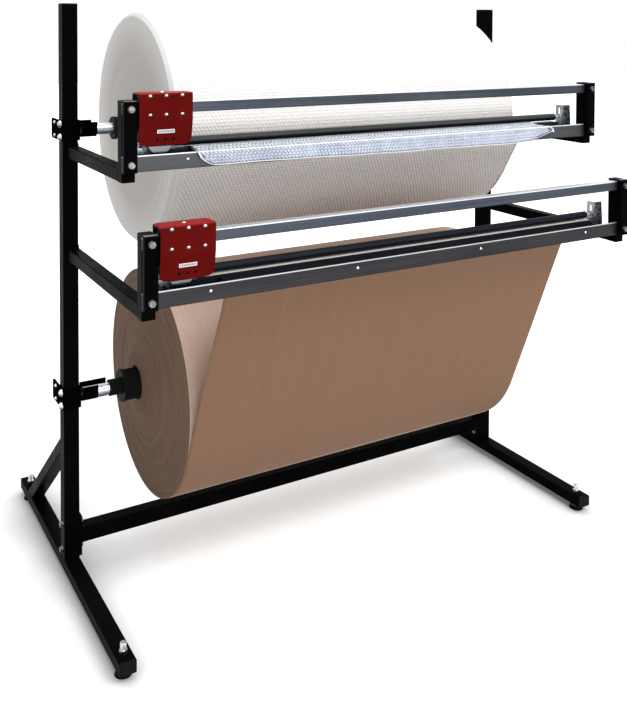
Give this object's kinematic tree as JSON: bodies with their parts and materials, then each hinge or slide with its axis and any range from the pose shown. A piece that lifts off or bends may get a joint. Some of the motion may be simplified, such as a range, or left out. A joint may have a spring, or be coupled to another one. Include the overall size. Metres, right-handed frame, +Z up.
{
  "type": "two-tier roll dispenser stand with sliding knives",
  "caption": "Floor stand with an upper bubble film roll and a lower kraft paper roll, each with a channel, clamp bar and rail-guided knife carriage.",
  "frame": {"origin": "on the floor under the middle of the stand's outline", "axes": "+X to the right along the rolls and rails, -Y to the front where the sheets are cut, +Z up"},
  "size_m": [1.464, 1.0944, 1.495],
  "materials": {
    "black_coat": "satin",
    "black_plastic": "matte",
    "zinc": "satin",
    "rail_alloy": "satin",
    "strip_rubber": "matte",
    "anvil_nylon": "satin",
    "red_coat": "satin",
    "blade_steel": "polished",
    "kraft_paper": "matte",
    "core_board": "matte",
    "bubble_film": "satin",
    "bar_steel": "gloss"
  },
  "bodies": {
    "frame": {"left_upright": "black_coat", "right_upright": "black_coat", "left_foot": "black_coat", "right_foot": "black_coat", "rear_braces": "black_coat", "cross_rail": "black_coat", "frame_bolts": "zinc", "tube_end_caps": "black_plastic", "leveller_nuts": "zinc", "end_brackets": "black_coat", "end_bolts": "zinc", "knife_strips": "strip_rubber", "anvil_strips": "anvil_nylon", "channel_screws": "zinc", "bar_ears": "zinc", "mandrel_brackets": "black_coat", "bracket_bolts": "zinc", "kraft_web": "kraft_paper", "bubble_web": "bubble_film", "upper_left_arm": "black_coat", "upper_right_arm": "black_coat", "upper_channel": "rail_alloy", "upper_guide_rail": "rail_alloy", "lower_left_arm": "black_coat", "lower_right_arm": "black_coat", "lower_channel": "rail_alloy", "lower_guide_rail": "rail_alloy"},
    "kraft_reel": {"kraft_shaft": "zinc", "kraft_core": "core_board", "kraft_roll": "kraft_paper", "kraft_chucks": "black_plastic", "kraft_collars": "black_plastic"},
    "bubble_reel": {"bubble_shaft": "zinc", "bubble_core": "core_board", "bubble_roll": "bubble_film", "bubble_chucks": "black_plastic"},
    "upper_carriage": {"upper_carriage_cover": "red_coat", "upper_carriage_body": "black_plastic", "upper_carriage_screws": "zinc", "upper_carriage_axles": "zinc", "upper_name_plate": "zinc", "upper_knife_guard": "zinc"},
    "upper_left_roller": {"upper_left_roller": "zinc"},
    "upper_right_roller": {"upper_right_roller": "zinc"},
    "upper_knife": {"upper_knife": "blade_steel"},
    "upper_clamp_bar": {"upper_clamp_bar": "bar_steel"},
    "lower_carriage": {"lower_carriage_cover": "red_coat", "lower_carriage_body": "black_plastic", "lower_carriage_screws": "zinc", "lower_carriage_axles": "zinc", "lower_name_plate": "zinc", "lower_knife_guard": "zinc"},
    "lower_left_roller": {"lower_left_roller": "zinc"},
    "lower_right_roller": {"lower_right_roller": "zinc"},
    "lower_knife": {"lower_knife": "blade_steel"},
    "lower_clamp_bar": {"lower_clamp_bar": "bar_steel"},
    "front_left_leveller": {"front_left_leveller": "zinc"},
    "front_right_leveller": {"front_right_leveller": "zinc"},
    "rear_left_leveller": {"rear_left_leveller": "zinc"},
    "rear_right_leveller": {"rear_right_leveller": "zinc"}
  },
  "joints": [
    {"name": "kraft_reel_spin", "type": "hinge", "parent": "frame", "child": "kraft_reel", "pos_m": [0, 0.03925, 0.48], "axis": [1, 0, 0], "continuous": true},
    {"name": "bubble_reel_spin", "type": "hinge", "parent": "frame", "child": "bubble_reel", "pos_m": [0, 0.03925, 1.169], "axis": [1, 0, 0], "continuous": true},
    {"name": "upper_carriage_slide", "type": "slide", "parent": "frame", "child": "upper_carriage", "axis": [1, 0, 0], "range_m": [0, 1.233]},
    {"name": "upper_left_roller_spin", "type": "hinge", "parent": "upper_carriage", "child": "upper_left_roller", "pos_m": [-0.6565, -0.38725, 1.27805], "axis": [0, 1, 0], "continuous": true},
    {"name": "upper_right_roller_spin", "type": "hinge", "parent": "upper_carriage", "child": "upper_right_roller", "pos_m": [-0.5765, -0.38725, 1.27805], "axis": [0, 1, 0], "continuous": true},
    {"name": "upper_knife_spin", "type": "hinge", "parent": "upper_carriage", "child": "upper_knife", "pos_m": [-0.6165, -0.37875, 1.182], "axis": [0, 1, 0], "continuous": true},
    {"name": "upper_clamp_bar_lift", "type": "slide", "parent": "frame", "child": "upper_clamp_bar", "axis": [0, 0, 1], "range_m": [0, 0.022]},
    {"name": "lower_carriage_slide", "type": "slide", "parent": "frame", "child": "lower_carriage", "axis": [1, 0, 0], "range_m": [0, 1.233]},
    {"name": "lower_left_roller_spin", "type": "hinge", "parent": "lower_carriage", "child": "lower_left_roller", "pos_m": [-0.6565, -0.51225, 1.01305], "axis": [0, 1, 0], "continuous": true},
    {"name": "lower_right_roller_spin", "type": "hinge", "parent": "lower_carriage", "child": "lower_right_roller", "pos_m": [-0.5765, -0.51225, 1.01305], "axis": [0, 1, 0], "continuous": true},
    {"name": "lower_knife_spin", "type": "hinge", "parent": "lower_carriage", "child": "lower_knife", "pos_m": [-0.6165, -0.50375, 0.917], "axis": [0, 1, 0], "continuous": true},
    {"name": "lower_clamp_bar_lift", "type": "slide", "parent": "frame", "child": "lower_clamp_bar", "axis": [0, 0, 1], "range_m": [0, 0.022]},
    {"name": "front_left_leveller_turn", "type": "hinge", "parent": "frame", "child": "front_left_leveller", "pos_m": [-0.7, -0.36675, 0], "axis": [0, 0, 1], "continuous": true},
    {"name": "front_right_leveller_turn", "type": "hinge", "parent": "frame", "child": "front_right_leveller", "pos_m": [0.7, -0.36675, 0], "axis": [0, 0, 1], "continuous": true},
    {"name": "rear_left_leveller_turn", "type": "hinge", "parent": "frame", "child": "rear_left_leveller", "pos_m": [-0.7, 0.50325, 0], "axis": [0, 0, 1], "continuous": true},
    {"name": "rear_right_leveller_turn", "type": "hinge", "parent": "frame", "child": "rear_right_leveller", "pos_m": [0.7, 0.50325, 0], "axis": [0, 0, 1], "continuous": true}
  ],
  "couplings": [
    {"joint": "upper_left_roller_spin", "follows": "upper_carriage_slide", "rad_per_m": 142.86},
    {"joint": "upper_right_roller_spin", "follows": "upper_carriage_slide", "rad_per_m": 142.86},
    {"joint": "upper_knife_spin", "follows": "upper_carriage_slide", "rad_per_m": 33.333},
    {"joint": "lower_left_roller_spin", "follows": "lower_carriage_slide", "rad_per_m": 142.86},
    {"joint": "lower_right_roller_spin", "follows": "lower_carriage_slide", "rad_per_m": 142.86},
    {"joint": "lower_knife_spin", "follows": "lower_carriage_slide", "rad_per_m": 33.333}
  ]
}
